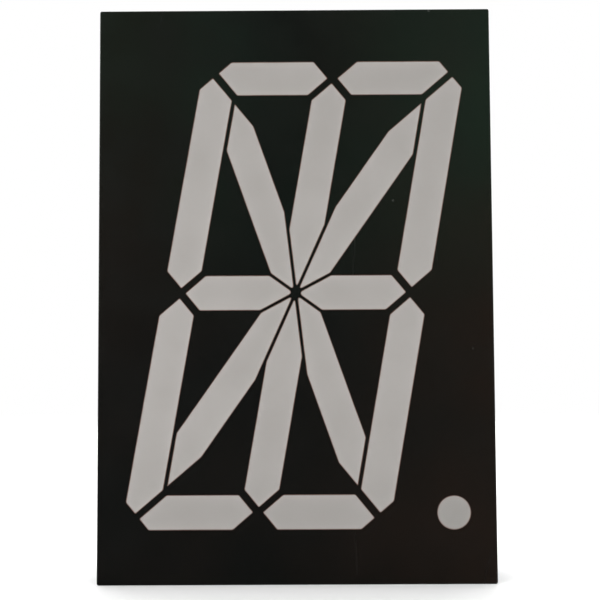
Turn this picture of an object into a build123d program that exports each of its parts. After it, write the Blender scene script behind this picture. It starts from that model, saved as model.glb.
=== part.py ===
from build123d import *
import math
import os

# A light-emitting display for one character, made of sixteen segments and a decimal point.
# All sizes are in millimetres. X runs to the right as seen from the front, Y to the back and Z up.
# The origin is the middle of the pin pattern, on the plane of the rear rim that seats on a host board.
# A level is a distance from that plane toward the front. The face is the highest level.

# Housing
body_width = 47.8
body_height = 69.7
body_depth = 12.0
wall_thickness = 1.2
outer_corner_radius = 0.4
face_edge_chamfer = 0.15
recess_corner_radius = 1.5

# Circuit board, sunk in the rear recess
board_thickness = 1.6
board_sunk = 1.4
board_clearance = 0.3

# Bead of resin round the board: how far it creeps over the board and up the wall
seal_reach = 0.8

# Digit: its lean in degrees, and the black margins from its outermost corners to the body's sides
slant = 10.0
digit_side_margin = 2.84
digit_end_margin = 6.49

# Strokes: uprights are measured level, the others square to their length
upright_width = 4.23
bar_width = 4.16
middle_bar_width = 4.23
diagonal_width = 4.11
corner_cut = 3.33

# Black ribs between neighbouring segments
joint_rib = 0.80
upright_rib = 0.40
star_rib = 0.30

# Directions of the ribs that meet in the middle of the digit, in degrees from level
rib_angle_g1_h = 144.1
rib_angle_h_i = 96.7
rib_angle_i_j = 65.7
rib_angle_j_g2 = 27.9

# Decimal point, and the margins from its centre to the body's sides
point_diameter = 4.05
point_side_margin = 5.1
point_end_margin = 8.45

# Draft of the light wells, in degrees: they narrow from the face toward the board
well_draft = 5.0

# Light-emitting chips
chip_side = 0.35
chip_height = 0.25

# Pins: two rows, each pin with a square shank pressed in the board and a round tail behind
pins_per_row = 9
pin_pitch = 2.54
pin_row_margin = 4.37
tail_diameter = 0.6
tail_length = 5.0
shank_side = 0.7
shank_stub = 0.3
hole_clearance = 0.01

# Grooves in the housing that clear the ends of the shanks
groove_width = 1.8
groove_depth = 0.8

# Solder cones behind the board
solder_foot_diameter = 1.8
solder_crown_diameter = 1.06
solder_height = 0.8

# Levels and sizes that follow
board_rear = board_sunk
board_front = board_rear + board_thickness
well_depth = body_depth - board_front
solder_crown = board_rear - solder_height
recess_width = body_width - 2 * wall_thickness
recess_height = body_height - 2 * wall_thickness
board_width = recess_width - 2 * board_clearance
board_height = recess_height - 2 * board_clearance
board_corner_radius = recess_corner_radius - board_clearance
hole_diameter = shank_side * math.sqrt(2) + 2 * hole_clearance
lean = math.tan(math.radians(slant))
digit_half_height = body_height / 2 - digit_end_margin
row_distance = digit_half_height - bar_width / 2
column_distance = body_width / 2 - digit_side_margin - digit_half_height * lean - upright_width / 2
point_place = Vector(body_width / 2 - point_side_margin, point_end_margin - body_height / 2)
row_spacing = body_height - 2 * pin_row_margin
pin_row_length = (pins_per_row - 1) * pin_pitch


def level(height):
    """The plane at a level, seen from the front: its x is X and its y is Z."""
    return Plane.XZ.offset(height)


# Edges of the digit. An edge is a point on it and its direction. The digit is laid out upright,
# in columns and rows, and leans to the right by the slant.
ACROSS = (1, 0)
UPRIGHT = (0, 1)
RISING = (1, 1)
FALLING = (1, -1)
middle_of_digit = Vector(0, 0)


def on_digit(column, row):
    """A point of the upright layout, leaned with the digit."""
    return Vector(column + row * lean, row)


def edge_through(column, row, direction):
    """The edge through a point of the layout, in a direction of the layout."""
    return on_digit(column, row), on_digit(*direction).normalized()


def rib_side(column, row, direction, side):
    """The left (-1) or right (1) side of the rib that crosses a joint of strokes at 45 degrees."""
    return edge_through(column + side * joint_rib / math.sqrt(2), row, direction)


def beside(edge, distance):
    """The edge moved to its left by a distance."""
    point, direction = edge
    return point + direction.rotate(Axis.Z, 90) * distance, direction


def crossing(first, second):
    """The point where two edges cross."""
    first_point, first_direction = first
    second_point, second_direction = second
    span = second_point - first_point
    along = span.cross(second_direction).Z / first_direction.cross(second_direction).Z
    return first_point + first_direction * along


def corners_of(edges):
    """The corners of the outline that a ring of edges encloses."""
    return [crossing(edge, after) for edge, after in zip(edges, edges[1:] + edges[:1])]


def middle_of(corners):
    """The mean of some corners."""
    return sum(corners, Vector()) / len(corners)


def turned_round(edges):
    """A ring of edges turned half a turn about the middle of the digit."""
    return [(-point, direction) for point, direction in edges]


def from_middle(angle):
    """The centre line of a rib that starts in the middle of the digit."""
    return middle_of_digit, Vector(1, 0).rotate(Axis.Z, angle)


# Edges that several segments share
column = column_distance
row = row_distance
half_upright = upright_width / 2
half_star_rib = star_rib / 2
top = edge_through(0, row + bar_width / 2, ACROSS)
under_top = edge_through(0, row - bar_width / 2, ACROSS)
middle_top = edge_through(0, middle_bar_width / 2, ACROSS)
middle_bottom = edge_through(0, -middle_bar_width / 2, ACROSS)
left_outside = edge_through(-column - half_upright, 0, UPRIGHT)
left_inside = edge_through(-column + half_upright, 0, UPRIGHT)
right_inside = edge_through(column - half_upright, 0, UPRIGHT)
right_outside = edge_through(column + half_upright, 0, UPRIGHT)
centre_left = edge_through(-half_upright, 0, UPRIGHT)
centre_right = edge_through(half_upright, 0, UPRIGHT)
left_corner_cut = edge_through(-column - half_upright + corner_cut, row + bar_width / 2, RISING)
right_corner_cut = edge_through(column + half_upright - corner_cut, row + bar_width / 2, FALLING)
beside_left = edge_through(-column + half_upright + upright_rib, 0, UPRIGHT)
beside_right = edge_through(column - half_upright - upright_rib, 0, UPRIGHT)
left_diagonal = middle_of_digit, on_digit(-column, row).normalized()
right_diagonal = middle_of_digit, on_digit(column, row).normalized()
rib_g1_h = from_middle(rib_angle_g1_h)
rib_h_i = from_middle(rib_angle_h_i)
rib_i_j = from_middle(rib_angle_i_j)
rib_j_g2 = from_middle(rib_angle_j_g2)

# Outlines of eight segments, each a ring of six edges
outlines = {
    "a1": [
        left_corner_cut,
        top,
        rib_side(0, row, FALLING, -1),
        rib_side(0, row, RISING, -1),
        under_top,
        rib_side(-column, row, FALLING, 1),
    ],
    "a2": [
        rib_side(0, row, FALLING, 1),
        rib_side(0, row, RISING, 1),
        top,
        right_corner_cut,
        rib_side(column, row, RISING, -1),
        under_top,
    ],
    "b": [
        right_corner_cut,
        right_outside,
        rib_side(column, 0, RISING, -1),
        rib_side(column, 0, FALLING, 1),
        right_inside,
        rib_side(column, row, RISING, 1),
    ],
    "f": [
        left_corner_cut,
        rib_side(-column, row, FALLING, -1),
        left_inside,
        rib_side(-column, 0, RISING, -1),
        rib_side(-column, 0, FALLING, 1),
        left_outside,
    ],
    "g1": [
        beside(rib_g1_h, half_star_rib),
        middle_top,
        rib_side(-column, 0, RISING, 1),
        rib_side(-column, 0, FALLING, 1),
        middle_bottom,
        beside(rib_j_g2, half_star_rib),
    ],
    "h": [
        beside(rib_g1_h, -half_star_rib),
        beside(rib_h_i, half_star_rib),
        beside(left_diagonal, -diagonal_width / 2),
        rib_side(-column, row, FALLING, -1),
        beside_left,
        beside(left_diagonal, diagonal_width / 2),
    ],
    "i": [
        beside(rib_h_i, -half_star_rib),
        beside(rib_i_j, half_star_rib),
        centre_right,
        rib_side(0, row, FALLING, -1),
        rib_side(0, row, RISING, 1),
        centre_left,
    ],
    "j": [
        beside(rib_i_j, -half_star_rib),
        beside(rib_j_g2, half_star_rib),
        beside(right_diagonal, -diagonal_width / 2),
        beside_right,
        rib_side(column, row, RISING, 1),
        beside(right_diagonal, diagonal_width / 2),
    ],
}

# The direction that each of them runs in
upright_run = on_digit(*UPRIGHT).normalized()
runs = {
    "a1": Vector(*ACROSS),
    "a2": Vector(*ACROSS),
    "b": upright_run,
    "f": upright_run,
    "g1": Vector(*ACROSS),
    "h": left_diagonal[1],
    "i": upright_run,
    "j": right_diagonal[1],
}

# The other eight are the same, turned half a turn about the middle of the digit
opposites = {"a1": "d2", "a2": "d1", "b": "e", "f": "c", "g1": "g2", "h": "k", "i": "l", "j": "m"}
for letter, opposite in opposites.items():
    outlines[opposite] = turned_round(outlines[letter])
    runs[opposite] = runs[letter]

pin_columns = [number * pin_pitch - pin_row_length / 2 for number in range(pins_per_row)]
bottom_row = [(x, -row_spacing / 2) for x in pin_columns]
top_row = [(x, row_spacing / 2) for x in reversed(pin_columns)]
pin_places = bottom_row + top_row


def segment_well(edges):
    """The space of one segment: its outline on the face, drafted toward the board."""
    with BuildPart() as well:
        with BuildSketch(level(body_depth)):
            Polygon(*corners_of(edges), align=None)
        extrude(amount=-well_depth)
        draft(well.faces().filter_by(Axis.Y, reverse=True), level(body_depth), -well_draft)
    return well.part


def point_well():
    """The space of the decimal point, drafted in the same way."""
    with BuildPart() as well:
        with BuildSketch(level(body_depth)):
            with Locations(point_place):
                Circle(point_diameter / 2)
        extrude(amount=-well_depth)
        draft(well.faces().filter_by(GeomType.CYLINDER), level(body_depth), -well_draft)
    return well.part


def segment_chip_places(letter):
    """Two chips in a segment, each a sixth of its length from the middle."""
    corners = corners_of(outlines[letter])
    middle = middle_of(corners)
    reaches = [(corner - middle).dot(runs[letter]) for corner in corners]
    sixth = runs[letter] * ((max(reaches) - min(reaches)) / 6)
    return [middle - sixth, middle + sixth]


wells = {f"segment_{letter}": segment_well(edges) for letter, edges in outlines.items()}
wells["decimal_point"] = point_well()
chip_places = {f"segment_{letter}": segment_chip_places(letter) for letter in outlines}
chip_places["decimal_point"] = [point_place]

# Housing: one black moulding, open at the wells and hollowed behind for the board
with BuildPart() as housing:
    with BuildSketch(level(0)):
        RectangleRounded(body_width, body_height, outer_corner_radius)
    extrude(amount=body_depth)
    chamfer(housing.faces().sort_by(Axis.Y)[0].edges(), face_edge_chamfer)
    with BuildSketch(level(0)):
        RectangleRounded(recess_width, recess_height, recess_corner_radius)
    extrude(amount=board_front, mode=Mode.SUBTRACT)
    for well in wells.values():
        add(well, mode=Mode.SUBTRACT)
    with BuildSketch(level(board_front)):
        with GridLocations(0, row_spacing, 1, 2):
            SlotCenterToCenter(pin_row_length, groove_width)
    extrude(amount=groove_depth, mode=Mode.SUBTRACT)

# Circuit board, bored for the pins
with BuildPart() as circuit_board:
    with BuildSketch(level(board_rear)):
        RectangleRounded(board_width, board_height, board_corner_radius)
        with Locations(*pin_places):
            Circle(hole_diameter / 2, mode=Mode.SUBTRACT)
    extrude(amount=board_thickness)

# Resin bead round the board: it fills the gap to the wall and slopes over the board's edge
with BuildSketch(level(0)) as recess_outline:
    RectangleRounded(recess_width, recess_height, recess_corner_radius)
seal_path = recess_outline.sketch.face().outer_wire()
path_start = seal_path @ 0
path_direction = seal_path % 0
toward_front = Vector(0, -1, 0)
seal_plane = Plane(origin=path_start, x_dir=toward_front.cross(path_direction), z_dir=path_direction)
with BuildPart() as edge_seal:
    with BuildSketch(seal_plane):
        Polygon(
            (0, board_front),
            (0, board_rear - seal_reach),
            (board_clearance + seal_reach, board_rear),
            (board_clearance, board_rear),
            (board_clearance, board_front),
            align=None,
        )
    sweep(path=seal_path)

# Solder: a cone round each shank, on the rear of the board
with BuildPart(level(solder_crown)) as solder_joints:
    with Locations(*pin_places):
        Cone(
            solder_crown_diameter / 2,
            solder_foot_diameter / 2,
            solder_height,
            align=(Align.CENTER, Align.CENTER, Align.MIN),
        )
        Box(
            shank_side,
            shank_side,
            solder_height,
            align=(Align.CENTER, Align.CENTER, Align.MIN),
            mode=Mode.SUBTRACT,
        )


def make_fill(name):
    """The milky resin cast in one well, flush with the face and closed round its chips."""
    with BuildPart() as fill:
        add(wells[name])
        with BuildSketch(level(board_front)):
            with Locations(*chip_places[name]):
                Rectangle(chip_side, chip_side)
        extrude(amount=chip_height, mode=Mode.SUBTRACT)
    return fill.part


def make_chips(name):
    """The light-emitting chips of one well, on the front of the board."""
    with BuildPart() as chips:
        with BuildSketch(level(board_front)):
            with Locations(*chip_places[name]):
                Rectangle(chip_side, chip_side)
        extrude(amount=chip_height)
    return chips.part


def make_pin(place):
    """A pin: a square shank through the board and its solder, and a round tail behind."""
    with BuildPart() as pin:
        with BuildSketch(level(solder_crown)):
            with Locations(place):
                Rectangle(shank_side, shank_side)
        extrude(amount=board_front + shank_stub - solder_crown)
        with BuildSketch(level(solder_crown)):
            with Locations(place):
                Circle(tail_diameter / 2)
        extrude(amount=-(tail_length + solder_crown))
    return pin.part


os.makedirs("parts", exist_ok=True)

housing.part.label = "housing"
export_step(housing.part, "parts/housing.step")

circuit_board.part.label = "circuit_board"
export_step(circuit_board.part, "parts/circuit_board.step")

edge_seal.part.label = "edge_seal"
export_step(edge_seal.part, "parts/edge_seal.step")

solder_joints.part.label = "solder_joints"
export_step(solder_joints.part, "parts/solder_joints.step")

for name in wells:
    fill = make_fill(name)
    fill.label = name
    export_step(fill, f"parts/{name}.step")
    chips = make_chips(name)
    chips.label = name.replace("segment", "chips") if "segment" in name else "chip_decimal_point"
    export_step(chips, f"parts/{chips.label}.step")

for number, place in enumerate(pin_places, start=1):
    pin = make_pin(place)
    pin.label = f"pin_{number}"
    export_step(pin, f"parts/{pin.label}.step")
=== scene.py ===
"""Looks of a sixteen-segment display: black housing, milky fills, circuit board, solder and pins.

Sizes of pieces are in millimetres and angles in degrees. A Vector, a finish and a lamp are in metres. X
runs to the right as seen from the front, Y to the back and Z up. A level is a distance from the rear rim
toward the front.
"""

import logging
import math
from dataclasses import dataclass, field, replace
from enum import Enum
from typing import Any, Sequence

import bmesh
import bpy
from mathutils import Euler, Matrix, Vector

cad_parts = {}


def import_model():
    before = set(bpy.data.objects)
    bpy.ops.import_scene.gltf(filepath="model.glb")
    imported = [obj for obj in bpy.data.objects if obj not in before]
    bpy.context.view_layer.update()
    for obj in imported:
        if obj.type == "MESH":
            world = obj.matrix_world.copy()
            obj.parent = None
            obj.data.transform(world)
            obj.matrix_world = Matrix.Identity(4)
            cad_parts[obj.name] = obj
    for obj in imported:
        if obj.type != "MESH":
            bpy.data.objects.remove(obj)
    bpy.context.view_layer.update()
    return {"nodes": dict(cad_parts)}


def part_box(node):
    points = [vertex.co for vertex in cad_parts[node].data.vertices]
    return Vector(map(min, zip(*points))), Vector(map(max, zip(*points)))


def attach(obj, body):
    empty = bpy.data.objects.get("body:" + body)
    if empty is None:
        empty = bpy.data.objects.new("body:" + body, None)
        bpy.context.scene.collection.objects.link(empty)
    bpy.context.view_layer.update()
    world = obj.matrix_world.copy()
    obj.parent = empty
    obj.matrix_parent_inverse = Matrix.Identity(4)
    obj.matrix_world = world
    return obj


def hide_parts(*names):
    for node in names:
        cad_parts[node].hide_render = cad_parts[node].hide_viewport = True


log = logging.getLogger("display")

MM = 0.001
BODY = "root"
TO_REAR = Vector((0, 1, 0))
TO_FRONT = Vector((0, -1, 0))

FACE_LEVEL = 12.0
BOARD_FRONT_LEVEL = 3.0
BOARD_REAR_LEVEL = 1.4

SAME_LEVEL = 1e-6
SAME_POINT = 1e-7
SAME_WAY = 0.9999
STRAIGHT = math.radians(0.5)

WHOLE = (0.0, 1.0)
FALLING = (1.0, 0.0)

Shape = bmesh.types.BMesh
Vert = bmesh.types.BMVert
Edge = bmesh.types.BMEdge
Face = bmesh.types.BMFace
Piece = bpy.types.Object
Material = bpy.types.Material
Socket = bpy.types.NodeSocket
Colour = tuple[float, float, float, float]
Spot = tuple[float, float, float]
Span = tuple[Any, Any]
Profile = tuple[tuple[float, float], ...]


class Slot(Enum):
    """The record's material slots, by name."""

    HOUSING = "housing_plastic"
    BOARD = "board_laminate"
    SEAL = "seal_resin"
    SOLDER = "solder"
    FILL = "segment_resin"
    PIN = "pin_metal"


# Helpers for shapes


def place(x: float, level: float, z: float) -> Vector:
    """A point from its place and its level.

    Args:
        x: Distance to the right of the middle.
        level: Distance from the rear rim toward the front.
        z: Height over the middle.

    Returns:
        The point.
    """
    return Vector((x * MM, -level * MM, z * MM))


def at_level(vert: Vert, level: float) -> bool:
    """Whether a vertex lies at a level, to a micron."""
    return abs(vert.co.y + level * MM) < SAME_LEVEL


def flat_faces(shape: Shape, level: float) -> list[Face]:
    """The faces of a shape that lie wholly at a level.

    Args:
        shape: The shape to search.
        level: The level.

    Returns:
        The faces.
    """
    return [face for face in shape.faces if all(at_level(vert, level) for vert in face.verts)]


def round_over(shape: Shape, geom: Sequence[Any], radius: float, steps: int, affect: str = "EDGES") -> None:
    """Rounds some edges or corners of a shape.

    Args:
        shape: The shape.
        geom: The edges or vertices to round.
        radius: How far the rounding reaches from them.
        steps: Number of facets across the rounding.
        affect: Whether edges or vertices are rounded.
    """
    bmesh.ops.bevel(
        shape,
        geom=list(geom),
        offset=radius * MM,
        offset_type="OFFSET",
        segments=steps,
        profile=0.5,
        affect=affect,
        material=-1,
    )


def block(low: Vector, high: Vector, radius: float = 0.0, steps: int = 1) -> Shape:
    """A block between two corners, the start of a shape.

    Args:
        low: The lowest corner.
        high: The highest corner.
        radius: How far its edges from front to back are rounded, if at all.
        steps: Number of facets across that rounding.

    Returns:
        The block.
    """
    shape = bmesh.new()
    size = high - low
    turn = Matrix.Translation((low + high) / 2) @ Matrix.Diagonal((*size, 1))
    bmesh.ops.create_cube(shape, size=1.0, matrix=turn)
    if radius:
        runs = {edge: (edge.verts[1].co - edge.verts[0].co).normalized() for edge in shape.edges}
        to_rear = [edge for edge, run in runs.items() if abs(run.dot(TO_REAR)) > SAME_WAY]
        round_over(shape, to_rear, radius, steps)
    return shape


def turned(profile: Profile, centre: Vector, steps: int) -> Shape:
    """A shape turned about a line that runs from front to back.

    Args:
        profile: Radius and level of each point from end to end.
        centre: A point of the line.
        steps: Number of facets round the line.

    Returns:
        The turned shape, closed where its profile starts and ends on the line.
    """
    shape = bmesh.new()
    radius, level = profile[0]
    last = bmesh.ops.create_vert(shape, co=centre + place(radius, level, 0))["vert"][0]
    for radius, level in profile[1:]:
        made = bmesh.ops.extrude_vert_indiv(shape, verts=[last])
        last = made["verts"][0]
        last.co = centre + place(radius, level, 0)
    bmesh.ops.spin(
        shape,
        geom=list(shape.verts) + list(shape.edges),
        cent=centre,
        axis=TO_REAR,
        angle=math.tau,
        steps=steps,
        use_merge=True,
    )
    bmesh.ops.remove_doubles(shape, verts=shape.verts, dist=SAME_POINT)
    bmesh.ops.recalc_face_normals(shape, faces=shape.faces)
    return shape


def shift(shape: Shape, made: Sequence[Any], way: Vector) -> None:
    """Moves the vertices among the things that an operator made.

    Args:
        shape: The shape.
        made: What the operator made.
        way: How far to move them.
    """
    bmesh.ops.translate(shape, verts=[item for item in made if isinstance(item, Vert)], vec=way)


def as_mesh(name: str, shape: Shape) -> bpy.types.Mesh:
    """A shape as a mesh, which frees the shape.

    Args:
        name: The mesh's name.
        shape: The shape.

    Returns:
        The mesh.
    """
    mesh = bpy.data.meshes.new(name)
    shape.to_mesh(mesh)
    shape.free()
    return mesh


def in_scene(name: str, data: Any) -> Piece:
    """Puts a mesh, a lamp or a camera in the scene.

    Args:
        name: The object's name.
        data: What it shows.

    Returns:
        The object.
    """
    holder = bpy.data.objects.new(name, data)
    bpy.context.scene.collection.objects.link(holder)
    return holder


def joined(shapes: Sequence[Shape]) -> Shape:
    """Several shapes as one, which frees them.

    Args:
        shapes: The shapes.

    Returns:
        One shape that holds them all.
    """
    whole = bmesh.new()
    for shape in shapes:
        carrier = as_mesh("carrier", shape)
        whole.from_mesh(carrier)
        bpy.data.meshes.remove(carrier)
    return whole


def set_piece(
    name: str,
    shape: Shape,
    finishes: Sequence[Material],
    stands_for: Sequence[str] = (),
    crease: float = 30.0,
) -> Piece:
    """Puts a finished shape in the scene as a piece of the display.

    Args:
        name: The piece's name.
        shape: Its shape, which is freed.
        finishes: Its materials, in the order of the faces' material numbers.
        stands_for: The CAD nodes that it replaces.
        crease: The angle past which an edge stays sharp.

    Returns:
        The piece.
    """
    mesh = as_mesh(name, shape)
    for finish in finishes:
        mesh.materials.append(finish)
    mesh.shade_smooth()
    mesh.set_sharp_from_angle(angle=math.radians(crease))
    piece = in_scene(name, mesh)
    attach(piece, BODY)
    if stands_for:
        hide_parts(*stands_for)
    log.info("%s: %d faces", name, len(mesh.polygons))
    return piece


def carved(blank: Shape, cutters: Sequence[Shape]) -> Shape:
    """A shape with others cut out of it, which frees them all.

    Args:
        blank: The shape that is cut.
        cutters: The shapes to take out, one after another.

    Returns:
        What is left.
    """
    loose = [in_scene("loose", as_mesh("loose", shape)) for shape in (blank, *cutters)]
    for cutter in loose[1:]:
        cut = loose[0].modifiers.new("cut", "BOOLEAN")
        cut.operation = "DIFFERENCE"
        cut.solver = "EXACT"
        cut.object = cutter
    seen = loose[0].evaluated_get(bpy.context.evaluated_depsgraph_get())
    mesh = bpy.data.meshes.new_from_object(seen)
    left = bmesh.new()
    left.from_mesh(mesh)
    bpy.data.meshes.remove(mesh)
    for holder in loose:
        bpy.data.meshes.remove(holder.data)
    bmesh.ops.remove_doubles(left, verts=left.verts, dist=SAME_POINT)
    return left


# Helpers for finishes


class Effect(Enum):
    """The surface effects that several finishes share, each a shader group."""

    PATCHES = "soft_patches"
    GRAIN = "moulded_grain"
    HAIRLINES = "hairlines"
    DUST = "dust_specks"


class NodeBench:
    """Adds nodes to one node tree. What goes into a node is a value, or a socket to join."""

    def __init__(self, tree: bpy.types.NodeTree) -> None:
        """Clears a tree to start on it."""
        self.tree = tree
        tree.nodes.clear()

    def add(self, kind: str, sockets: dict[Any, Any] | None = None, **settings: Any) -> bpy.types.Node:
        """Adds a node.

        Args:
            kind: Blender's name for the type of node.
            sockets: What goes in, by the name or number of each input.
            settings: The node's own settings.

        Returns:
            The node.
        """
        node = self.tree.nodes.new(kind)
        for name, value in settings.items():
            setattr(node, name, value)
        for name, value in (sockets or {}).items():
            if isinstance(value, Socket):
                self.tree.links.new(value, node.inputs[name])
            else:
                node.inputs[name].default_value = value
        return node

    @property
    def where(self) -> Socket:
        """The place on the object, from a node of its own."""
        return self.add("ShaderNodeTexCoord").outputs["Object"]

    def effect(self, effect: Effect, **sockets: Any) -> Socket:
        """Puts a shared effect on the object.

        Args:
            effect: The effect.
            sockets: Its numbers by name, and its place where that is another one.

        Returns:
            What it gives, from 0 to 1.
        """
        tree = bpy.data.node_groups[effect.value]
        return self.add("ShaderNodeGroup", {"Place": self.where, **sockets}, node_tree=tree).outputs[0]

    def noise(self, where: Socket, scale: Any, detail: Any = 2.0) -> Socket:
        """Adds soft noise.

        Args:
            where: The place to read it at.
            scale: Its scale.
            detail: How many finer layers it has.

        Returns:
            The noise, about 0.5.
        """
        sockets = {"Vector": where, "Scale": scale, "Detail": detail}
        return self.add("ShaderNodeTexNoise", sockets).outputs[0]

    def blend(self, share: Any, first: Any, second: Any) -> Socket:
        """Blends two colours.

        Args:
            share: How much of the second.
            first: The first colour.
            second: The second colour.

        Returns:
            The blended colour.
        """
        sockets = {"Factor": share, 6: first, 7: second}
        return self.add("ShaderNodeMix", sockets, data_type="RGBA").outputs[2]

    def math(self, operation: str, *values: Any, clamp: bool = False) -> Socket:
        """Works out a value.

        Args:
            operation: Blender's name for what is done.
            values: What it is done with.
            clamp: Whether to keep the result between 0 and 1.

        Returns:
            The result.
        """
        sockets = dict(enumerate(values))
        return self.add("ShaderNodeMath", sockets, operation=operation, use_clamp=clamp).outputs[0]

    def ramp(self, value: Socket, ends: Span = WHOLE, goal: Span = WHOLE, smooth: bool = False) -> Socket:
        """Leads a value from one range to another, and no farther.

        Args:
            value: The value.
            ends: Where the value's own range starts and ends.
            goal: What it becomes at the start and at the end.
            smooth: Whether it starts and ends gently.

        Returns:
            The new value.
        """
        names = ("Value", "From Min", "From Max", "To Min", "To Max")
        sockets = dict(zip(names, (value, *ends, *goal)))
        kind = "SMOOTHSTEP" if smooth else "LINEAR"
        return self.add("ShaderNodeMapRange", sockets, interpolation_type=kind).outputs[0]


@dataclass(frozen=True)
class Effects:
    """Builds the shader groups of the shared effects, each once."""

    patch_ends: Span = (0.3, 0.7)
    pit_smoothness: float = 0.8
    fine_share: float = 0.6
    scratch_lays: tuple[Span, ...] = ((0.6, 0.0), (-0.9, 7.3))
    scratch_stretch: float = 0.12
    scratch_breaks: Span = (0.56, 0.66)
    dustless: float = 0.9

    def build(self) -> None:
        """Builds every group."""
        self.patches()
        self.grain()
        self.hairlines()
        self.dust()

    def start(self, effect: Effect, gives: str, **numbers: float) -> tuple[NodeBench, Any]:
        """Starts a group that takes a place and some numbers, and gives one value.

        Args:
            effect: The effect.
            gives: The name of its value.
            numbers: The numbers' defaults, by name.

        Returns:
            The group's bench, and what is given to the group.
        """
        tree = bpy.data.node_groups.new(effect.value, "ShaderNodeTree")
        number = "NodeSocketFloat"
        tree.interface.new_socket("Place", in_out="INPUT", socket_type="NodeSocketVector")
        for name, default in numbers.items():
            taken = tree.interface.new_socket(name, in_out="INPUT", socket_type=number)
            taken.default_value = default
        tree.interface.new_socket(gives, in_out="OUTPUT", socket_type=number)
        bench = NodeBench(tree)
        return bench, bench.add("NodeGroupInput").outputs

    def patches(self) -> None:
        """Builds the soft patches."""
        bench, given = self.start(Effect.PATCHES, "Patches", Scale=100.0, Detail=2.0)
        noise = bench.noise(given["Place"], given["Scale"], given["Detail"])
        bench.add("NodeGroupOutput", {"Patches": bench.ramp(noise, self.patch_ends, smooth=True)})

    def grain(self) -> None:
        """Builds the fine moulded grain."""
        bench, given = self.start(Effect.GRAIN, "Height", Scale=6000.0)
        cells = {"Vector": given["Place"], "Scale": given["Scale"], "Smoothness": self.pit_smoothness}
        pits = bench.add("ShaderNodeTexVoronoi", cells, feature="SMOOTH_F1").outputs["Distance"]
        fine = bench.noise(given["Place"], given["Scale"], 3.0)
        bench.add("NodeGroupOutput", {"Height": bench.math("MULTIPLY_ADD", fine, self.fine_share, pits)})

    def hairlines(self) -> None:
        """Builds the sparse handling scratches."""
        bench, given = self.start(Effect.HAIRLINES, "Mask", Scale=60.0, Width=0.01)
        masks = []
        for turn, seed in self.scratch_lays:
            lay = {"Vector": given["Place"], "Rotation": (0.0, turn, 0.0)}
            lay |= {"Location": (seed, 0.0, seed), "Scale": (1.0, 1.0, self.scratch_stretch)}
            warp = bench.noise(bench.add("ShaderNodeMapping", lay).outputs[0], given["Scale"])
            away = bench.math("ABSOLUTE", bench.math("SUBTRACT", warp, 0.5))
            line = bench.ramp(away, (0.0, given["Width"]), FALLING)
            holes = bench.noise(given["Place"], given["Scale"], 1.0)
            masks.append(bench.math("MULTIPLY", line, bench.ramp(holes, self.scratch_breaks)))
        bench.add("NodeGroupOutput", {"Mask": bench.math("MAXIMUM", *masks)})

    def dust(self) -> None:
        """Builds the sparse specks of dust."""
        bench, given = self.start(Effect.DUST, "Mask", Scale=900.0, Size=0.08)
        sockets = {"Vector": given["Place"], "Scale": given["Scale"]}
        cells = bench.add("ShaderNodeTexVoronoi", sockets).outputs
        speck = bench.ramp(cells["Distance"], (0.0, given["Size"]), FALLING)
        chance = bench.add("ShaderNodeSeparateColor", {0: cells["Color"]}).outputs[0]
        few = bench.math("GREATER_THAN", chance, self.dustless)
        bench.add("NodeGroupOutput", {"Mask": bench.math("MULTIPLY", speck, few)})


class Pattern(Enum):
    """The patterns of a small relief."""

    GRAIN = "grain"
    SWELL = "swell"
    WEAVE = "weave"


@dataclass(frozen=True)
class Relief:
    """A small relief on a surface."""

    pattern: Pattern
    scale: float
    strength: float
    height: float

    def normal(self, bench: NodeBench) -> Socket:
        """The normal that shows the relief.

        Args:
            bench: The material's node bench.

        Returns:
            The normal.
        """
        if self.pattern is Pattern.GRAIN:
            relief = bench.effect(Effect.GRAIN, Scale=self.scale)
        elif self.pattern is Pattern.SWELL:
            relief = bench.noise(bench.where, self.scale)
        else:
            band = {"Vector": bench.where, "Scale": self.scale, "Distortion": 0.6, "Detail": 1.0}
            threads = [bench.add("ShaderNodeTexWave", band, bands_direction=axis) for axis in "XZ"]
            relief = bench.math("ADD", *(thread.outputs["Fac"] for thread in threads))
        sockets = {"Height": relief, "Strength": self.strength, "Distance": self.height}
        return bench.add("ShaderNodeBump", sockets).outputs[0]


@dataclass(frozen=True)
class Finish:
    """A surface finish, which makes one material."""

    name: str

    def make(self) -> Material:
        """Makes the material.

        Returns:
            The material.
        """
        material = bpy.data.materials.new(self.name)
        material.use_nodes = True
        bench = NodeBench(material.node_tree)
        shader = bench.add("ShaderNodeBsdfPrincipled", self.inputs(bench))
        bench.add("ShaderNodeOutputMaterial", {"Surface": shader.outputs[0]})
        return material

    def inputs(self, bench: NodeBench) -> dict[str, Any]:
        """What goes into the shader.

        Args:
            bench: The material's node bench.

        Returns:
            Values and sockets by the name of each input.
        """
        raise NotImplementedError


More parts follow.
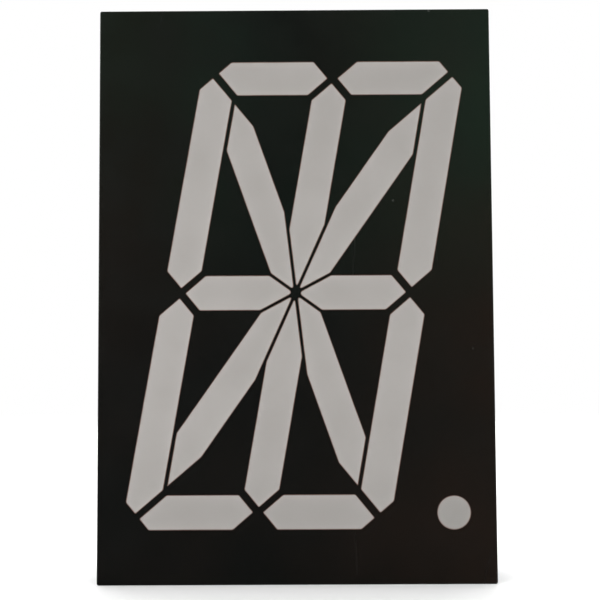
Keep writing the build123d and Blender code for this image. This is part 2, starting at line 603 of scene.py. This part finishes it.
@dataclass(frozen=True)
class GlossyFace(Finish):
    """The housing's face: black, glossy, faintly uneven, with painted reflections: soft green and reddish
    patches in its colour.
    """

    name: str = "glossy_black_face"
    black: Colour = (0.0052, 0.0056, 0.0052, 1.0)
    # Painted reflections: these green and reddish tints in the base colour stand in for what the glossy
    # face reflects.
    painted_green_reflection: Colour = (0.0052, 0.0105, 0.0072, 1.0)
    painted_red_reflection: Colour = (0.0098, 0.0068, 0.0054, 1.0)
    dust: Colour = (0.20, 0.20, 0.19, 1.0)
    dust_share: float = 0.35
    roughness: Span = (0.13, 0.22)
    scratch_roughness: float = 0.18
    # Where the painted reflections lie: green toward the top, reddish to the right and toward the bottom.
    green_from_to: Span = (-0.004, 0.022)
    red_right_from_to: Span = (-0.006, 0.020)
    red_down_from_to: Span = (0.018, -0.030)
    red_right_share: float = 0.8
    red_shift: Spot = (0.31, 0.0, 0.17)
    ripple: Relief = Relief(Pattern.SWELL, 420.0, 0.10, 0.0001)

    def inputs(self, bench: NodeBench) -> dict[str, Any]:
        """Painted green reflections toward the top, painted reddish reflections to the right and below,
        then dust, smears and a ripple.

        Args:
            bench: The material's node bench.

        Returns:
            Values and sockets by the name of each input.
        """
        spot = bench.add("ShaderNodeSeparateXYZ", {0: bench.where}).outputs
        lay = {"Vector": bench.where, "Location": self.red_shift}
        shifted = bench.add("ShaderNodeMapping", lay).outputs[0]
        # Painted reflection: green patches, toward the top of the face.
        green = bench.effect(Effect.PATCHES, Scale=36.0, Detail=2.5)
        green = bench.math("MULTIPLY", green, bench.ramp(spot["Z"], self.green_from_to))
        # Painted reflection: reddish patches, to the right and toward the bottom.
        right = bench.ramp(spot["X"], self.red_right_from_to)
        down = bench.ramp(spot["Z"], self.red_down_from_to)
        red_reflection_reach = bench.math("MULTIPLY_ADD", right, self.red_right_share, down)
        red = bench.effect(Effect.PATCHES, Place=shifted, Scale=40.0, Detail=2.5)
        red = bench.math("MULTIPLY", red, red_reflection_reach, clamp=True)
        colour = bench.blend(red, bench.blend(green, self.black, self.painted_green_reflection), self.painted_red_reflection)
        specks = bench.effect(Effect.DUST, Scale=420.0, Size=0.07)
        colour = bench.blend(bench.math("MULTIPLY", specks, self.dust_share), colour, self.dust)
        smears = bench.effect(Effect.PATCHES, Scale=190.0, Detail=4.0)
        lines = bench.effect(Effect.HAIRLINES, Scale=55.0, Width=0.006)
        rough = bench.ramp(smears, goal=self.roughness)
        rough = bench.math("MULTIPLY_ADD", lines, self.scratch_roughness, rough)
        normal = self.ripple.normal(bench)
        return {"Base Color": colour, "Roughness": rough, "Normal": normal, "IOR": 1.5}


@dataclass(frozen=True)
class PatchedFinish(Finish):
    """A surface of one colour that strays softly toward another, in its gloss too.

    The patches have a scale and a detail, and a fill has painted light near its well's walls: a lighter
    colour there, as if lit by the white walls.
    """

    main: Colour
    other: Colour
    roughness: Span
    patches: Span
    relief: Relief | None = None
    painted_light_at_walls: Colour | None = None
    constants: tuple[tuple[str, float], ...] = ()

    def inputs(self, bench: NodeBench) -> dict[str, Any]:
        """Soft patches over the relief, and the painted light near the walls where there is one.

        Args:
            bench: The material's node bench.

        Returns:
            Values and sockets by the name of each input.
        """
        scale, detail = self.patches
        patches = bench.effect(Effect.PATCHES, Scale=scale, Detail=detail)
        colour = bench.blend(patches, self.main, self.other)
        # Painted light: the fill turns lighter toward its well's walls.
        if self.painted_light_at_walls:
            painted_wall_light = bench.add("ShaderNodeAttribute", attribute_name="painted_wall_light").outputs["Fac"]
            colour = bench.blend(painted_wall_light, colour, self.painted_light_at_walls)
        sockets = {"Base Color": colour, "Roughness": bench.ramp(patches, goal=self.roughness)}
        if self.relief:
            sockets["Normal"] = self.relief.normal(bench)
        return sockets | dict(self.constants)


@dataclass(frozen=True)
class PaleFloor(Finish):
    """The floor: plain white, fading out far from the object."""

    name: str = "pale_floor"
    white: Colour = (0.86, 0.86, 0.86, 1.0)
    middle: Spot = (0.0, 0.0, -0.03485)
    fades: Span = (0.20, 0.42)

    def inputs(self, bench: NodeBench) -> dict[str, Any]:
        """Plain white, less opaque with its distance from the middle.

        Args:
            bench: The material's node bench.

        Returns:
            Values and sockets by the name of each input.
        """
        away = bench.add("ShaderNodeVectorMath", {0: bench.where, 1: self.middle}, operation="DISTANCE")
        fade = bench.ramp(away.outputs["Value"], self.fades, FALLING, smooth=True)
        return {"Base Color": self.white, "Roughness": 0.9, "Specular IOR Level": 0.0, "Alpha": fade}


MOULDED_SIDES = PatchedFinish(
    name="moulded_black_sides",
    main=(0.0070, 0.0070, 0.0072, 1.0),
    other=(0.0090, 0.0090, 0.0088, 1.0),
    roughness=(0.56, 0.62),
    patches=(120.0, 4.0),
    relief=Relief(Pattern.GRAIN, 5200.0, 0.35, 0.00002),
    constants=(("Specular IOR Level", 0.38),),
)
MILKY_RESIN = PatchedFinish(
    name="milky_resin",
    main=(0.408, 0.384, 0.368, 1.0),
    other=(0.430, 0.406, 0.390, 1.0),
    # Painted light: the lighter colour near the walls.
    painted_light_at_walls=(0.480, 0.455, 0.438, 1.0),
    roughness=(0.36, 0.46),
    patches=(150.0, 3.0),
    relief=Relief(Pattern.GRAIN, 3500.0, 0.12, 0.00001),
    constants=(("IOR", 1.5),),
)
POINT_RESIN = replace(
    MILKY_RESIN,
    name="milky_resin_point",
    main=(0.350, 0.332, 0.316, 1.0),
    other=(0.366, 0.348, 0.332, 1.0),
    # Painted light: the lighter colour near the walls.
    painted_light_at_walls=(0.415, 0.394, 0.376, 1.0),
)
# Painted shade: a dark reddish-brown band where each fill meets its well's wall, standing in for the shade
# of a narrow groove there.
PAINTED_RIM_SHADE = PatchedFinish(
    name="painted_rim_shade",
    main=(0.150, 0.078, 0.060, 1.0),
    other=(0.205, 0.130, 0.110, 1.0),
    roughness=(0.3, 0.4),
    patches=(300.0, 2.0),
)
GREEN_MASK = PatchedFinish(
    name="green_mask",
    main=(0.007, 0.042, 0.016, 1.0),
    other=(0.009, 0.048, 0.019, 1.0),
    roughness=(0.24, 0.36),
    patches=(60.0, 1.0),
    relief=Relief(Pattern.WEAVE, 420.0, 0.10, 0.00001),
)
MASKED_COPPER = replace(
    GREEN_MASK, name="masked_copper", main=(0.015, 0.077, 0.029, 1.0), other=(0.018, 0.086, 0.033, 1.0)
)
TINNED_METAL = PatchedFinish(
    name="tinned_metal",
    main=(0.68, 0.67, 0.64, 1.0),
    other=(0.60, 0.59, 0.56, 1.0),
    roughness=(0.32, 0.42),
    patches=(900.0, 3.0),
    relief=Relief(Pattern.GRAIN, 2600.0, 0.06, 0.00003),
    constants=(("Metallic", 1.0),),
)
SOLDER_SKIN = replace(
    TINNED_METAL,
    name="solder_skin",
    main=(0.72, 0.71, 0.69, 1.0),
    other=(0.60, 0.59, 0.57, 1.0),
    roughness=(0.18, 0.30),
    relief=Relief(Pattern.GRAIN, 2600.0, 0.15, 0.00003),
)
AMBER_SEAL = PatchedFinish(
    name="amber_seal",
    main=(0.190, 0.112, 0.040, 1.0),
    other=(0.245, 0.155, 0.062, 1.0),
    roughness=(0.08, 0.2),
    patches=(120.0, 2.0),
    relief=Relief(Pattern.SWELL, 520.0, 0.5, 0.0002),
)
CHIP_CRYSTAL = PatchedFinish(
    name="chip_crystal",
    main=(0.30, 0.16, 0.07, 1.0),
    other=(0.75, 0.50, 0.18, 1.0),
    roughness=(0.2, 0.4),
    patches=(5000.0, 1.0),
)


class Finishes:
    """Every finish of the scene, made once."""

    def __init__(self) -> None:
        """Makes the effects and the materials."""
        Effects().build()
        self.face = GlossyFace().make()
        self.sides = MOULDED_SIDES.make()
        self.resin = MILKY_RESIN.make()
        self.point_resin = POINT_RESIN.make()
        self.rim = PAINTED_RIM_SHADE.make()
        self.mask = GREEN_MASK.make()
        self.masked_copper = MASKED_COPPER.make()
        self.tin = TINNED_METAL.make()
        self.solder = SOLDER_SKIN.make()
        self.bead = AMBER_SEAL.make()
        self.chip = CHIP_CRYSTAL.make()
        self.floor = PaleFloor().make()


@dataclass
class Assembly:
    """A part of the scene that is dressed in the shared finishes."""

    finishes: Finishes = field(kw_only=True)


# The housing and what fills its wells


@dataclass
class Wells:
    """The light wells: their forms come from the CAD fills, with moulded corners."""

    corner: float = 0.16
    star_corner: float = 0.60
    star_reach: float = 0.9
    corner_steps: int = 4
    wall_depth: float = 5.0
    overrun: float = 0.5
    point_front: float = 2.025
    point_rear: float = 1.238
    point_steps: int = 64

    def star_tips(self, edges: Sequence[Edge]) -> list[Edge]:
        """The edges of a well's walls that point at the middle of the star.

        Args:
            edges: The edges between the walls.

        Returns:
            Those that end close to the star's middle at the face.
        """
        left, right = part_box("segment_g1"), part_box("segment_g2")
        middle = Vector(((left[1].x + right[0].x) / 2, -FACE_LEVEL * MM, (left[0].z + left[1].z) / 2))
        reach = self.star_reach * MM
        return [edge for edge in edges if min((vert.co - middle).length for vert in edge.verts) < reach]

    def form(self, node: Piece) -> Shape:
        """The walls and the face of one segment's well, open at the board.

        Args:
            node: The segment's CAD node.

        Returns:
            Its walls with rounded corners, and its face.
        """
        shape = bmesh.new()
        shape.from_mesh(node.data)
        bmesh.ops.remove_doubles(shape, verts=shape.verts, dist=SAME_LEVEL)
        bmesh.ops.dissolve_limit(shape, angle_limit=STRAIGHT, verts=shape.verts, edges=shape.edges)
        floor = -(BOARD_FRONT_LEVEL + self.overrun) * MM
        rear = [face for face in shape.faces if min(vert.co.y for vert in face.verts) > floor]
        bmesh.ops.delete(shape, geom=rear, context="FACES")
        depth = self.wall_depth * MM
        walls = [edge for edge in shape.edges if abs(edge.verts[0].co.y - edge.verts[1].co.y) > depth]
        tips = self.star_tips(walls)
        round_over(shape, [edge for edge in walls if edge not in tips], self.corner, self.corner_steps)
        tips = [edge for edge in tips if edge.is_valid]
        if tips:
            round_over(shape, tips, self.star_corner, self.corner_steps)
        return shape

    def cutter(self, shape: Shape) -> Shape:
        """Makes a well's form into a tool that cuts it, running past both ends.

        Args:
            shape: The well's walls and face, open at the board.

        Returns:
            The same shape, closed and longer.
        """
        face = flat_faces(shape, FACE_LEVEL)
        front = bmesh.ops.extrude_face_region(shape, geom=face)["geom"]
        bmesh.ops.delete(shape, geom=face, context="FACES_ONLY")
        shift(shape, front, TO_FRONT * self.overrun * MM)
        open_edges = [edge for edge in shape.edges if edge.is_boundary]
        rear = bmesh.ops.extrude_edge_only(shape, edges=open_edges)["geom"]
        shift(shape, rear, TO_REAR * self.overrun * MM)
        return self.closed(shape)

    def closed(self, shape: Shape) -> Shape:
        """Closes a shape at its open end, with its faces outwards.

        Args:
            shape: The shape.

        Returns:
            The same shape, closed.
        """
        bmesh.ops.edgeloop_fill(shape, edges=[edge for edge in shape.edges if edge.is_boundary])
        bmesh.ops.recalc_face_normals(shape, faces=shape.faces)
        return shape

    def point_form(self) -> Shape:
        """The decimal point's drafted form.

        Returns:
            Its wall and face, open at the board.
        """
        low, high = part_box("decimal_point")
        centre = Vector(((low.x + high.x) / 2, 0, (low.z + high.z) / 2))
        profile = ((0, FACE_LEVEL), (self.point_front, FACE_LEVEL), (self.point_rear, BOARD_FRONT_LEVEL))
        shape = turned(profile, centre, self.point_steps)
        bmesh.ops.dissolve_limit(shape, angle_limit=STRAIGHT, verts=shape.verts, edges=shape.edges)
        return shape


@dataclass
class Housing(Assembly):
    """The black moulding: a shallow box, open behind for the board and pierced by the wells."""

    width: float = 47.8
    height: float = 69.7
    wall: float = 1.2
    corner: float = 0.25
    face_edge: float = 0.10
    rim_edge: float = 0.08
    recess_corner: float = 1.5
    corner_steps: int = 6
    edge_steps: int = 3
    recess_steps: int = 8
    overrun: float = 1.0
    front_facing: float = -0.05

    def blank(self) -> Shape:
        """The outside of the moulding, with its edges eased.

        Returns:
            The block.
        """
        across, up = self.width / 2, self.height / 2
        low, high = place(-across, FACE_LEVEL, -up), place(across, 0, up)
        shape = block(low, high, self.corner, self.corner_steps)
        for level, radius in ((FACE_LEVEL, self.face_edge), (0.0, self.rim_edge)):
            rim = [edge for edge in shape.edges if all(at_level(vert, level) for vert in edge.verts)]
            round_over(shape, rim, radius, self.edge_steps)
        return shape

    def recess(self) -> Shape:
        """The tool that hollows the moulding for the board.

        Returns:
            The tool, a block that runs past the rear rim.
        """
        across, up = self.width / 2 - self.wall, self.height / 2 - self.wall
        low, high = place(-across, BOARD_FRONT_LEVEL, -up), place(across, -self.overrun, up)
        return block(low, high, self.recess_corner, self.recess_steps)

    def build(self, well_cutters: Sequence[Shape]) -> None:
        """Builds the moulding.

        Args:
            well_cutters: The tools that cut the wells.
        """
        shape = carved(self.blank(), [self.recess(), joined(well_cutters)])
        for face in shape.faces:
            on_face = face.calc_center_median().y < -(FACE_LEVEL - self.face_edge) * MM
            face.material_index = 0 if on_face and face.normal.y < self.front_facing else 1
        finishes = [self.finishes.face, self.finishes.sides]
        piece = set_piece("moulded_housing", shape, finishes, ["housing"])
        flat = piece.modifiers.new("flat_faces", "WEIGHTED_NORMAL")
        flat.mode = "FACE_AREA"
        flat.weight = 100
        flat.keep_sharp = True


@dataclass
class Fills(Assembly):
    """The milky resin in the wells, flush at the walls and faintly dished between them."""

    rim_width: float = 0.09
    mesh_step: float = 0.42
    dish: float = 0.035
    dish_reach: float = 0.30
    # How far the painted light from the walls reaches into the fill.
    glow_reach: float = 0.45
    crease: float = 40.0

    def face_up(self, shape: Shape) -> None:
        """Divides a fill's face, dishes it and marks how near its walls each place is, which sets the
        painted light near the walls.

        Args:
            shape: The closed fill.
        """
        whole = flat_faces(shape, FACE_LEVEL)
        width = self.rim_width * MM
        lip = bmesh.ops.inset_region(shape, faces=whole, thickness=width, use_even_offset=True)
        # The lip at the walls takes the painted shade.
        for face in lip["faces"]:
            face.material_index = 1
        for axis in (Vector((1, 0, 0)), Vector((0, 0, 1))):
            reaches = [vert.co.dot(axis) for face in flat_faces(shape, FACE_LEVEL) for vert in face.verts]
            count = math.ceil((max(reaches) - min(reaches)) / (self.mesh_step * MM))
            for step in range(1, count):
                spot = min(reaches) + (max(reaches) - min(reaches)) * step / count
                faces = [face for face in flat_faces(shape, FACE_LEVEL) if face.material_index == 0]
                edges = {edge for face in faces for edge in face.edges}
                verts = {vert for face in faces for vert in face.verts}
                bmesh.ops.bisect_plane(
                    shape,
                    geom=[*faces, *edges, *verts],
                    dist=SAME_POINT,
                    plane_co=axis * spot,
                    plane_no=axis,
                )
        top = flat_faces(shape, FACE_LEVEL)
        inside = set(top)
        rim = [edge for face in top for edge in face.edges if not inside.issuperset(edge.link_faces)]
        # Nearness to the walls, for the painted light there.
        painted_wall_light = shape.verts.layers.float.new("painted_wall_light")
        for vert in {vert for face in top for vert in face.verts}:
            away = min(self.distance(vert.co, edge) for edge in rim) / MM
            vert[painted_wall_light] = math.exp(-away / self.glow_reach)
            vert.co.y += self.dish * MM * (1 - math.exp(-away / self.dish_reach))

    @staticmethod
    def distance(point: Vector, edge: Edge) -> float:
        """The distance from a point to an edge.

        Args:
            point: The point.
            edge: The edge.

        Returns:
            The distance in metres.
        """
        start, end = (vert.co for vert in edge.verts)
        run = end - start
        share = max(0.0, min(1.0, (point - start).dot(run) / run.length_squared))
        return (point - start - run * share).length

    def build(self, name: str, shape: Shape, node: str, resin: Material) -> None:
        """Builds one fill.

        Args:
            name: The piece's name.
            shape: The closed fill.
            node: The CAD node that it stands for.
            resin: The resin's finish.
        """
        self.face_up(shape)
        set_piece(name, shape, [resin, self.finishes.rim], [node], self.crease)


# The board and what is soldered to it


class Side(Enum):
    """The two rows of pins, by the side of the board they stand on."""

    LOWER = -1
    UPPER = 1


@dataclass
class BoardRear(Assembly):
    """The board's rear: copper tracks under the mask, tinned pads and through holes."""

    copper: float = 0.035
    track_width: float = 0.5
    rail_width: float = 1.2
    pad: float = 1.05
    via: float = 0.55
    via_hole: float = 0.2
    fan_start: float = 3.2
    fan_spread: float = 1.9
    reaches: tuple[float, ...] = (26.0, 22.0, 18.5, 15.0)
    hole_lift: float = 0.01
    pad_steps: int = 32
    via_steps: int = 24
    hole_steps: int = 16

    def raised_disc(self, centre: Vector, radius: float, steps: int, turn: float = 0.0) -> Shape:
        """A low disc of copper on the board.

        Args:
            centre: Its middle on the board's rear.
            radius: Its radius.
            steps: Number of its sides.
            turn: A turn about its axis, in radians.

        Returns:
            The disc.
        """
        shape = bmesh.new()
        lay = Matrix.Translation(centre) @ Euler((math.pi / 2, 0, 0)).to_matrix().to_4x4()
        spun = lay @ Matrix.Rotation(turn, 4, "Z")
        bmesh.ops.create_circle(shape, cap_ends=True, radius=radius * MM, segments=steps, matrix=spun)
        grown = bmesh.ops.extrude_face_region(shape, geom=list(shape.faces), use_keep_orig=True)
        shift(shape, grown["geom"], TO_REAR * self.copper * MM)
        bmesh.ops.recalc_face_normals(shape, faces=shape.faces)
        return shape

    def track(self, points: Sequence[Vector], width: float) -> Shape:
        """A copper track along a line that starts straight up or down.

        Args:
            points: The corners of the line.
            width: Its width.

        Returns:
            The track.
        """
        shape = bmesh.new()
        last = bmesh.ops.create_vert(shape, co=points[0])["vert"][0]
        for point in points[1:]:
            last = bmesh.ops.extrude_vert_indiv(shape, verts=[last])["verts"][0]
            last.co = point
        wall = bmesh.ops.extrude_edge_only(shape, edges=list(shape.edges))
        shift(shape, wall["geom"], TO_REAR * self.copper * MM)
        bmesh.ops.solidify(shape, geom=list(shape.faces), thickness=width * MM)
        bmesh.ops.recalc_face_normals(shape, faces=shape.faces)
        start = [vert.co.x for vert in shape.verts if abs(vert.co.z - points[0].z) < SAME_LEVEL]
        centred = points[0].x - (min(start) + max(start)) / 2
        bmesh.ops.translate(shape, verts=shape.verts, vec=(centred, 0, 0))
        return shape

    def fan(self, pins: dict[int, Vector], side: Side) -> tuple[list[Shape], list[Vector]]:
        """The tracks of one row of pins, which run in from the row and spread.

        Args:
            pins: The place of each pin of the row, by its number from the middle.
            side: The row.

        Returns:
            The tracks, and the places where they end.
        """
        tracks, ends = [], []
        inward = -side.value
        for number, pin in pins.items():
            if number == 0:
                continue
            goal = pin.x * self.fan_spread
            bend = pin + Vector((0, 0, inward * self.fan_start * MM))
            after = Vector((goal, pin.y, bend.z + inward * abs(goal - pin.x)))
            end = Vector((goal, pin.y, pin.z + inward * self.reaches[abs(number) - 1] * MM))
            tracks.append(self.track([pin, bend, after, end], self.track_width))
            ends.append(end)
        return tracks, ends

    def build(self, pins: dict[int, Vector]) -> None:
        """Builds the copper on the board's rear.

        Args:
            pins: The place of each pin on the board's rear, by its number.
        """
        per_row = len(pins) // 2
        half = per_row // 2
        tracks, ends = [], []
        for side, first in ((Side.LOWER, 1), (Side.UPPER, per_row + 1)):
            row = {number - first - half: pins[number] for number in range(first, first + per_row)}
            made, reached = self.fan(row, side)
            tracks += made
            ends += reached
        tracks.append(self.track([pins[1 + half], pins[per_row + 1 + half]], self.rail_width))
        tracks += [self.raised_disc(end, self.via, self.via_steps) for end in ends]
        set_piece("board_tracks", joined(tracks), [self.finishes.masked_copper])
        round_pins = [pin for number, pin in pins.items() if number > 1]
        pads = [self.raised_disc(pin, self.pad, self.pad_steps) for pin in round_pins]
        pads.append(self.raised_disc(pins[1], self.pad * math.sqrt(2), 4, math.pi / 4))
        lift = TO_REAR * self.hole_lift * MM
        pads += [self.raised_disc(end + lift, self.via_hole, self.hole_steps) for end in ends]
        set_piece("board_pads", joined(pads), [self.finishes.tin])


@dataclass
class Joints(Assembly):
    """The solder joints: hollow-sided fillets that climb from each pad to its pin."""

    fillet: Profile = (
        (0.0, 1.40), (0.90, 1.40), (0.80, 1.33), (0.68, 1.20), (0.57, 1.00),
        (0.48, 0.80), (0.42, 0.66), (0.36, 0.60), (0.0, 0.60),
    )
    steps: int = 24
    crease: float = 50.0

    def build(self, pins: dict[int, Vector]) -> None:
        """Builds all the joints as one piece.

        Args:
            pins: The place of each pin on the board's rear, by its number.
        """
        shapes = [turned(self.fillet, Vector((pin.x, 0, pin.z)), self.steps) for pin in pins.values()]
        finish, nodes = self.finishes.solder, ["solder_joints"]
        set_piece("solder_fillets", joined(shapes), [finish], nodes, self.crease)


@dataclass
class Pins(Assembly):
    """The pins: a square shank in the board, and a round tail with an eased tip."""

    shank_side: float = 0.7
    shank_low: float = 0.6
    shank_high: float = 3.3
    tail: Profile = (
        (0.0, 0.90), (0.30, 0.90), (0.30, -4.72), (0.285, -4.83),
        (0.24, -4.92), (0.16, -4.98), (0.08, -5.0), (0.0, -5.0),
    )
    steps: int = 24
    shank_edge: float = 0.05
    edge_steps: int = 2
    crease: float = 50.0

    def build(self, number: int, pin: Vector) -> None:
        """Builds one pin.

        Args:
            number: The pin's number.
            pin: Its place on the board's rear.
        """
        half = self.shank_side / 2
        x, z = pin.x / MM, pin.z / MM
        low, high = place(x - half, self.shank_high, z - half), place(x + half, self.shank_low, z + half)
        shank = block(low, high)
        round_over(shank, shank.edges, self.shank_edge, self.edge_steps)
        tail = turned(self.tail, Vector((pin.x, 0, pin.z)), self.steps)
        shape = joined([shank, tail])
        name = f"tinned_pin_{number}"
        set_piece(name, shape, [self.finishes.tin], [f"pin_{number}"], self.crease)


@dataclass
class EdgeSeal(Assembly):
    """The bead of resin that creeps up the wall and over the board's edge."""

    recess_width: float = 45.4
    recess_height: float = 67.3
    corner: float = 1.5
    curve: Profile = (
        (0.0, 0.60), (0.08, 0.82), (0.20, 1.02), (0.38, 1.19),
        (0.62, 1.31), (0.86, 1.37), (1.10, 1.40),
    )
    corner_steps: int = 10
    sunk: float = 0.03
    crease: float = 60.0

    def build(self) -> None:
        """Builds the bead."""
        shape = bmesh.new()
        lay = Matrix.Translation(place(0, self.curve[0][1], 0)) @ Matrix.Rotation(-math.pi / 2, 4, "X")
        lay = lay @ Matrix.Diagonal((self.recess_width * MM, self.recess_height * MM, 1, 1))
        bmesh.ops.create_grid(shape, x_segments=1, y_segments=1, size=0.5, matrix=lay)
        round_over(shape, shape.verts, self.corner, self.corner_steps, affect="VERTICES")
        heart = shape.faces[:]
        for (near, high), (far, low) in zip(self.curve, self.curve[1:]):
            bmesh.ops.inset_region(
                shape,
                faces=heart,
                thickness=(far - near) * MM,
                depth=(high - low) * MM,
                use_boundary=True,
                use_even_offset=True,
            )
        bmesh.ops.delete(shape, geom=heart, context="FACES")
        loops = {True: [], False: []}
        for edge in [edge for edge in shape.edges if edge.is_boundary]:
            loops[at_level(edge.verts[0], self.curve[0][1])].append(edge)
        ends = []
        for outer, level in ((True, BOARD_FRONT_LEVEL), (False, BOARD_REAR_LEVEL + self.sunk)):
            made = bmesh.ops.extrude_edge_only(shape, edges=loops[outer])["geom"]
            for vert in (item for item in made if isinstance(item, Vert)):
                vert.co.y = -level * MM
            ends += [item for item in made if isinstance(item, Edge)]
        bmesh.ops.bridge_loops(shape, edges=ends)
        bmesh.ops.recalc_face_normals(shape, faces=shape.faces)
        set_piece("resin_bead", shape, [self.finishes.bead], ["edge_seal"], self.crease)


# The studio


@dataclass
class Studio(Assembly):
    """A pale floor, soft lights and the camera at the photograph's viewing angle.

    The floor's half side and the camera's nearest sight are in metres.
    """

    floor_level: float = -34.85
    floor_half: float = 0.45
    room: Colour = (0.16, 0.16, 0.16, 1.0)
    front_dark: Colour = (0.028, 0.038, 0.036, 1.0)
    front_warm: Colour = (0.140, 0.100, 0.072, 1.0)
    front_green: Colour = (0.165, 0.310, 0.205, 1.0)
    lens: float = 62.0
    clip_start: float = 0.005
    camera_place: Spot = (1.06, -136.76, -8.25)
    camera_turn: Spot = (93.379, 0.306, 0.266)
    lamps: tuple[tuple[str, Spot, float, float], ...] = (
        ("left_softbox", (-0.26, -0.24, 0.06), 0.20, 0.44),
        ("right_softbox", (0.50, -0.50, 0.06), 0.40, 0.3),
        ("overhead_softbox", (0.0, 0.05, 0.68), 0.60, 8.5),
        ("rear_softbox", (0.0, 0.65, 0.35), 0.50, 3.5),
    )

    def floor(self) -> None:
        """Lays the floor."""
        shape = bmesh.new()
        lay = Matrix.Translation((0, 0, self.floor_level * MM))
        bmesh.ops.create_grid(shape, x_segments=8, y_segments=8, size=self.floor_half, matrix=lay)
        mesh = as_mesh("floor", shape)
        mesh.materials.append(self.finishes.floor)
        ground = in_scene("floor", mesh)
        ground.visible_glossy = False

    def light(self) -> None:
        """Hangs the soft lights and sets the room's own light."""
        for name, spot, size, power in self.lamps:
            lamp = bpy.data.lights.new(name, "AREA")
            lamp.shape = "SQUARE"
            lamp.size = size
            lamp.energy = power
            holder = in_scene(name, lamp)
            holder.location = spot
            holder.rotation_euler = (-Vector(spot)).to_track_quat("-Z", "Y").to_euler()
        world = bpy.data.worlds.new("studio_room")
        bpy.context.scene.world = world
        world.use_nodes = True
        bench = NodeBench(world.node_tree)
        seen = bench.add("ShaderNodeLightPath").outputs["Is Camera Ray"]
        white = bench.add("ShaderNodeBackground", {"Color": (1.0, 1.0, 1.0, 1.0)})
        room = bench.add("ShaderNodeBackground", {"Color": self.room_colour(bench)})
        mixed = bench.add("ShaderNodeMixShader", {0: seen, 1: room.outputs[0], 2: white.outputs[0]})
        bench.add("ShaderNodeOutputWorld", {"Surface": mixed.outputs[0]})

    def room_colour(self, bench: NodeBench) -> Socket:
        """The room's light: even all round, and dim with soft coloured patches in front of the face.

        Args:
            bench: The world's node bench.

        Returns:
            The colour by direction.
        """
        way = bench.add("ShaderNodeTexCoord").outputs["Generated"]
        part = bench.add("ShaderNodeSeparateXYZ", {0: way}).outputs
        cloud = bench.noise(way, 9.0, 2.5)
        right = bench.ramp(part["X"], (0.0, 0.16), smooth=True)
        dense = bench.math("MAXIMUM", bench.ramp(cloud, (0.42, 0.58)), right)
        green = bench.math("MULTIPLY", bench.ramp(part["Z"], (0.02, 0.24), smooth=True), dense)
        right = bench.math("MULTIPLY", right, bench.ramp(part["Z"], (0.20, 0.06), smooth=True))
        left = bench.ramp(part["X"], (-0.08, -0.14), smooth=True)
        left = bench.math("MULTIPLY", left, bench.ramp(part["Z"], (0.02, 0.12), smooth=True))
        dim = bench.blend(bench.math("MAXIMUM", left, right), self.front_dark, self.front_warm)
        front = bench.blend(bench.math("SUBTRACT", green, left, clamp=True), dim, self.front_green)
        ahead = bench.ramp(part["Y"], (-0.80, -0.93), smooth=True)
        return bench.blend(ahead, self.room, front)

    def camera(self) -> None:
        """Sets up the camera."""
        lens = bpy.data.cameras.new("camera")
        lens.lens = self.lens
        lens.clip_start = self.clip_start
        holder = in_scene("camera", lens)
        holder.location = Vector(self.camera_place) * MM
        holder.rotation_euler = [math.radians(turn) for turn in self.camera_turn]
        bpy.context.scene.camera = holder
        bpy.context.scene.view_settings.view_transform = "Standard"


@dataclass
class Display(Assembly):
    """The whole display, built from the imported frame."""

    nodes: dict[str, Piece]

    def pin_places(self) -> dict[int, Vector]:
        """Finds the pins.

        Returns:
            The place of each on the board's rear, by its number.
        """
        places = {}
        for name in self.nodes:
            if name.startswith("pin_"):
                low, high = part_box(name)
                spot = Vector(((low.x + high.x) / 2, -BOARD_REAR_LEVEL * MM, (low.z + high.z) / 2))
                places[int(name.removeprefix("pin_"))] = spot
        return dict(sorted(places.items()))

    def build_front(self) -> None:
        """Builds the housing and the fills."""
        wells, fills = Wells(), Fills(finishes=self.finishes)
        segments = [name for name in self.nodes if name.startswith("segment_")]
        cutters = [wells.cutter(wells.form(self.nodes[name])) for name in segments]
        cutters.append(wells.cutter(wells.point_form()))
        Housing(finishes=self.finishes).build(cutters)
        for name in segments:
            shape = wells.closed(wells.form(self.nodes[name]))
            fills.build(name.replace("segment_", "fill_"), shape, name, self.finishes.resin)
        shape = wells.closed(wells.point_form())
        fills.build("fill_point", shape, "decimal_point", self.finishes.point_resin)

    def build_rear(self) -> None:
        """Builds the copper, the joints, the pins and the seal, and dresses the board and chips."""
        places = self.pin_places()
        BoardRear(finishes=self.finishes).build(places)
        Joints(finishes=self.finishes).build(places)
        pins = Pins(finishes=self.finishes)
        for number, spot in places.items():
            pins.build(number, spot)
        EdgeSeal(finishes=self.finishes).build()
        self.dress("circuit_board", self.finishes.mask)
        for name in self.nodes:
            if name.startswith("chip"):
                self.dress(name, self.finishes.chip)

    def dress(self, name: str, finish: Material) -> None:
        """Gives a CAD node that stays its finish.

        Args:
            name: The node's name.
            finish: The material.
        """
        for holder in self.nodes[name].material_slots:
            holder.material = finish
        log.info("%s: dressed", name)


def main() -> None:
    """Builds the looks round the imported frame."""
    logging.basicConfig(level=logging.INFO, format="%(name)s: %(message)s")
    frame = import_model()
    finishes = Finishes()
    display = Display(nodes=frame["nodes"], finishes=finishes)
    display.build_front()
    display.build_rear()
    studio = Studio(finishes=finishes)
    studio.floor()
    studio.light()
    studio.camera()
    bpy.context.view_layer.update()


if __name__ == "__main__":
    main()
